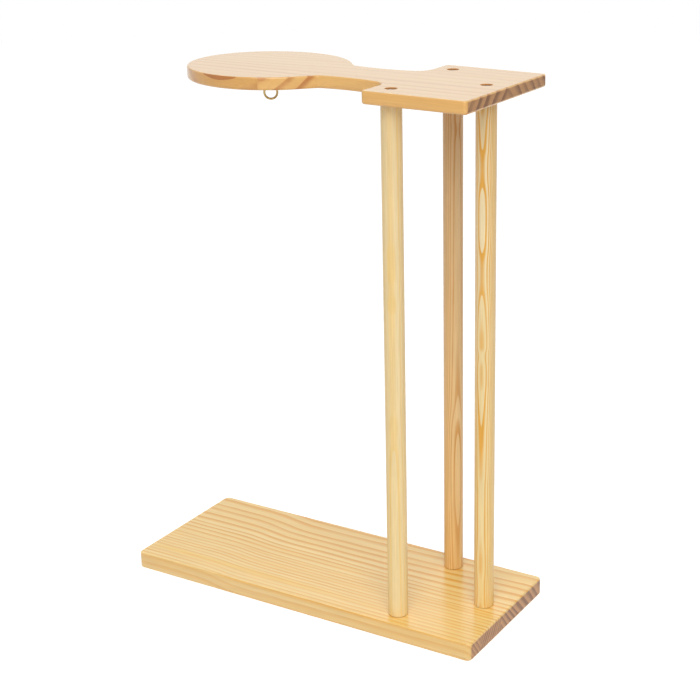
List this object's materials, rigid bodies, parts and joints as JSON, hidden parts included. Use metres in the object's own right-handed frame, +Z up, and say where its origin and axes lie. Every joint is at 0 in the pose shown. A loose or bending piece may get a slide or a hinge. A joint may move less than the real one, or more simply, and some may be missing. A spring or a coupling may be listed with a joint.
{
  "type": "chime stand",
  "caption": "Wooden stand: flat base board, round posts and a shaped top board whose round end carries a screw eye for a hanging chime.",
  "frame": {"origin": "centre of the base board's underside, which is also the bottom centre of the whole stand's box", "axes": "+Z up; +X along the base board, from the round plate towards the posts; +Y across it"},
  "size_m": [0.41, 0.16, 0.55],
  "materials": {
    "base_pine": "satin clear lacquer over pine with fine lengthwise grain",
    "top_pine": "satin clear lacquer over pale pine",
    "post_pine": "satin clear lacquer over turned pine",
    "zinc_steel": "plain zinc-plated steel",
    "brass": "polished brass wire"
  },
  "bodies": {
    "root": {"base_board": "base_pine", "top_board": "top_pine", "post_front": "post_pine", "post_back": "post_pine", "post_end": "post_pine", "top_screw_front": "zinc_steel", "top_screw_back": "zinc_steel", "top_screw_end": "zinc_steel", "base_screw_front": "zinc_steel", "base_screw_back": "zinc_steel", "base_screw_end": "zinc_steel", "screw_eye": "brass"}
  },
  "joints": []
}
